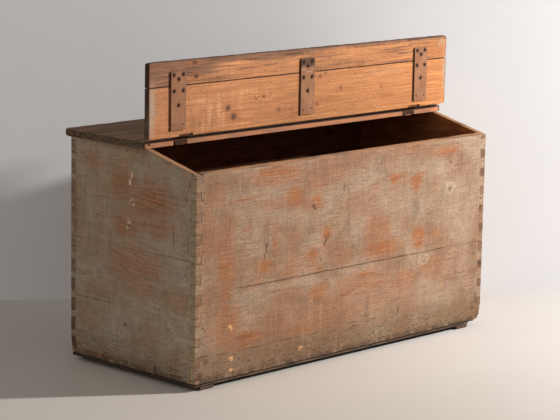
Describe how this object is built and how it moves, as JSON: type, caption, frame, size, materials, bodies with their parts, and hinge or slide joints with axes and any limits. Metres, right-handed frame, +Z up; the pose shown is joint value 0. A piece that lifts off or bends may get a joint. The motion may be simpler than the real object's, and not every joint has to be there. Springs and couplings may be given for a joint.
{
  "type": "pine trunk",
  "caption": "Long dovetailed pine trunk on two runners, with a fixed rear top board and a battened lid that hinges over a sloping front mouth.",
  "frame": {"origin": "on the floor, under the middle of the whole piece (case, top board's rear overhang and open lid)", "axes": "+X along the trunk to the right seen from the front, +Y to the rear, +Z up"},
  "size_m": [1.224, 0.532, 0.8711],
  "materials": {
    "painted_pine": "thin worn grey-beige paint over orange pine",
    "weathered_pine": "dark weathered top, bare pine front edge",
    "underside_pine": "dark dirty bare pine",
    "lid_pine": "bare warm pine inside, worn paint outside",
    "batten_pine": "greyed bare pine",
    "hinge_iron": "rusty wrought iron",
    "nail_iron": "dark rusty iron"
  },
  "bodies": {
    "chest": {"front_lower_board": "painted_pine", "front_upper_board": "painted_pine", "back_lower_board": "painted_pine", "back_middle_board": "painted_pine", "back_upper_board": "painted_pine", "left_end_lower_board": "painted_pine", "left_end_middle_board": "painted_pine", "left_end_upper_board": "painted_pine", "right_end_lower_board": "painted_pine", "right_end_middle_board": "painted_pine", "right_end_upper_board": "painted_pine", "bottom_front_board": "underside_pine", "bottom_middle_board": "underside_pine", "bottom_rear_board": "underside_pine", "left_runner": "underside_pine", "right_runner": "underside_pine", "top_board": "weathered_pine", "left_hinge_fixed_leaf": "hinge_iron", "right_hinge_fixed_leaf": "hinge_iron", "left_hinge_pin": "hinge_iron", "right_hinge_pin": "hinge_iron", "fixed_leaf_screws": "nail_iron", "top_board_nails": "nail_iron", "bottom_nails": "nail_iron", "runner_nails": "nail_iron"},
    "lid": {"lid_rear_board": "lid_pine", "lid_front_board": "lid_pine", "left_batten": "batten_pine", "middle_batten": "batten_pine", "right_batten": "batten_pine", "left_hinge_lid_leaf": "hinge_iron", "right_hinge_lid_leaf": "hinge_iron", "lid_leaf_screws": "nail_iron", "left_batten_nails": "nail_iron", "middle_batten_nails": "nail_iron", "right_batten_nails": "nail_iron"}
  },
  "joints": [
    {"name": "lid_hinge", "type": "hinge", "parent": "chest", "child": "lid", "pos_m": [0, -0.0698, 0.6582], "axis": [1, 0, 0], "range_deg": [-90, 103.7]}
  ]
}
